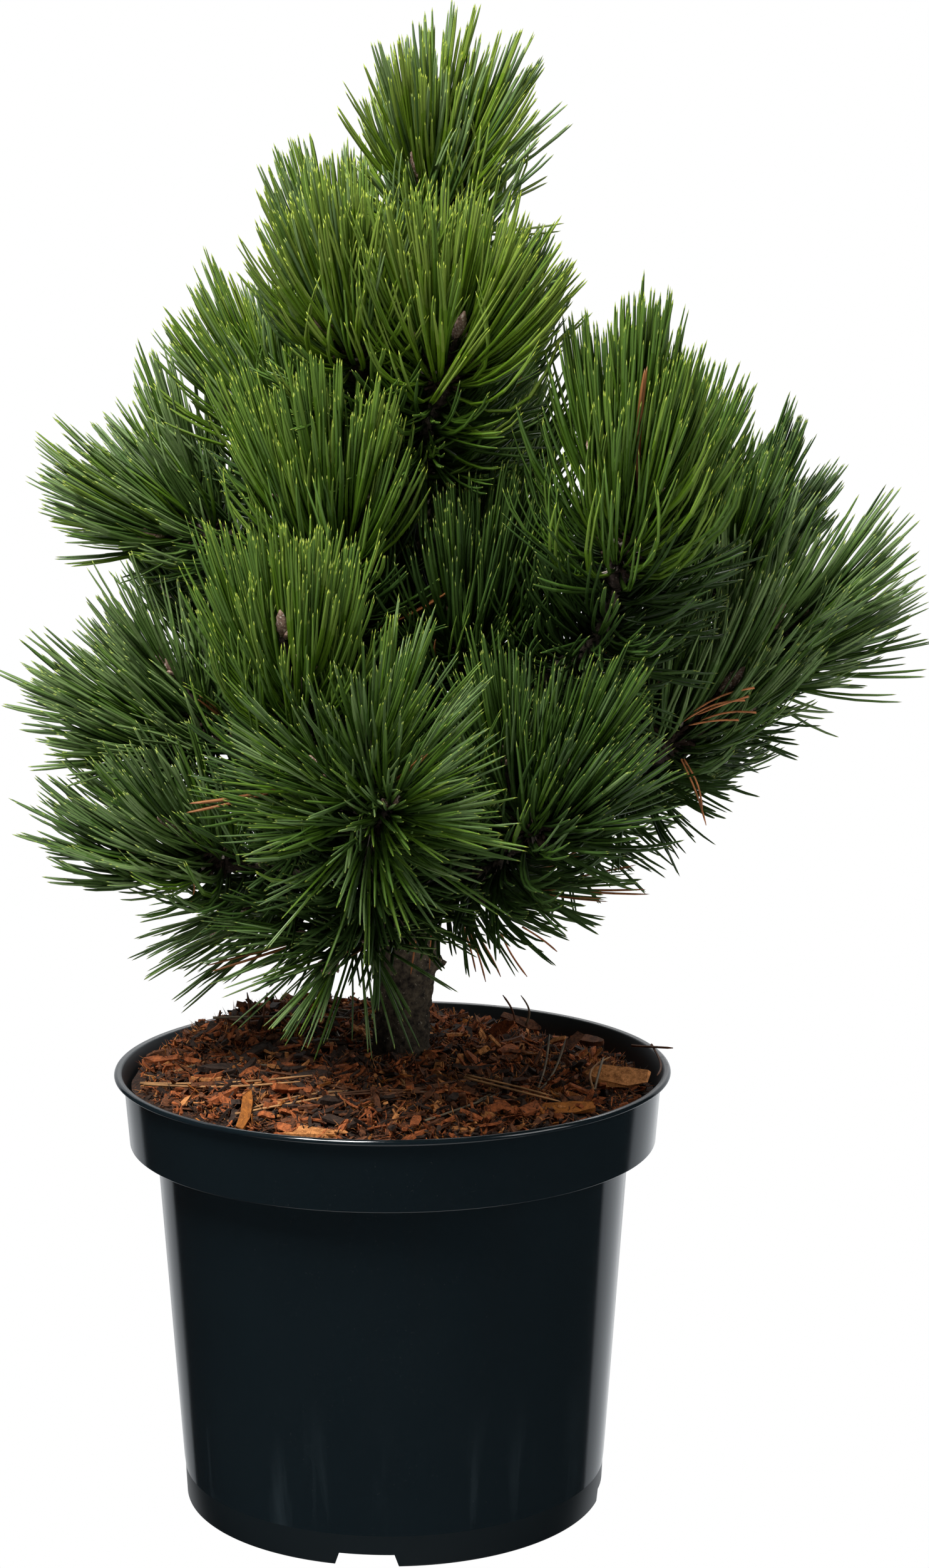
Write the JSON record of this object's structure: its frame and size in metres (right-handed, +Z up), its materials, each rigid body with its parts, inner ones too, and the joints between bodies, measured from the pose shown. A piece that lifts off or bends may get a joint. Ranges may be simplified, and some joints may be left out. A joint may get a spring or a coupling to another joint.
{
  "type": "potted dwarf bosnian pine",
  "caption": "Dwarf Bosnian pine with a leaning trunk, curved boughs and dense tufts of long needles, growing in a round flanged nursery pot filled with bark mulch.",
  "frame": {"origin": "centre of the pot's flat underside, on the ground", "axes": "+Z up; +X to the right and -Y towards the viewer as the picture shows the plant"},
  "size_m": [0.4644, 0.4606, 0.7474],
  "materials": {
    "plastic": "glossy blue-black moulded plastic with a pale worn rim edge",
    "mulch": "rough reddish brown bark chips",
    "bark": "rough grey-brown scaly bark",
    "needles": "satin dark green needles with yellow-green tips"
  },
  "bodies": {
    "root": {"pot": "plastic", "mulch_bed": "mulch", "trunk": "bark", "bough_top_back_left": "bark", "bough_top_front_left": "bark", "bough_top_front_right": "bark", "bough_top_right": "bark", "bough_top_back": "bark", "bough_high_left": "bark", "bough_outer_left": "bark", "bough_high_front": "bark", "bough_front_left": "bark", "bough_mid_left": "bark", "bough_low_left": "bark", "bough_low_front": "bark", "bough_low_back_left": "bark", "bough_lowest_front": "bark", "bough_low_front_right": "bark", "bough_far_right": "bark", "bough_mid_right": "bark", "bough_under_right": "bark", "bough_lowest_right": "bark", "bough_front_right": "bark", "bough_outer_front_right": "bark", "bough_inner_front_right": "bark", "bough_mid_back": "bark", "bough_back_left": "bark", "bough_back_right": "bark", "bough_low_back": "bark", "bough_low_back_right": "bark", "tuft_leader": "needles", "tuft_top_back_left": "needles", "tuft_top_front_left": "needles", "tuft_top_front_right": "needles", "tuft_top_right": "needles", "tuft_top_back": "needles", "tuft_high_left": "needles", "tuft_outer_left": "needles", "tuft_high_front": "needles", "tuft_front_left": "needles", "tuft_mid_left": "needles", "tuft_low_left": "needles", "tuft_low_front": "needles", "tuft_low_back_left": "needles", "tuft_lowest_front": "needles", "tuft_low_front_right": "needles", "tuft_far_right": "needles", "tuft_mid_right": "needles", "tuft_under_right": "needles", "tuft_lowest_right": "needles", "tuft_front_right": "needles", "tuft_outer_front_right": "needles", "tuft_inner_front_right": "needles", "tuft_mid_back": "needles", "tuft_back_left": "needles", "tuft_back_right": "needles", "tuft_low_back": "needles", "tuft_low_back_right": "needles"}
  },
  "joints": []
}
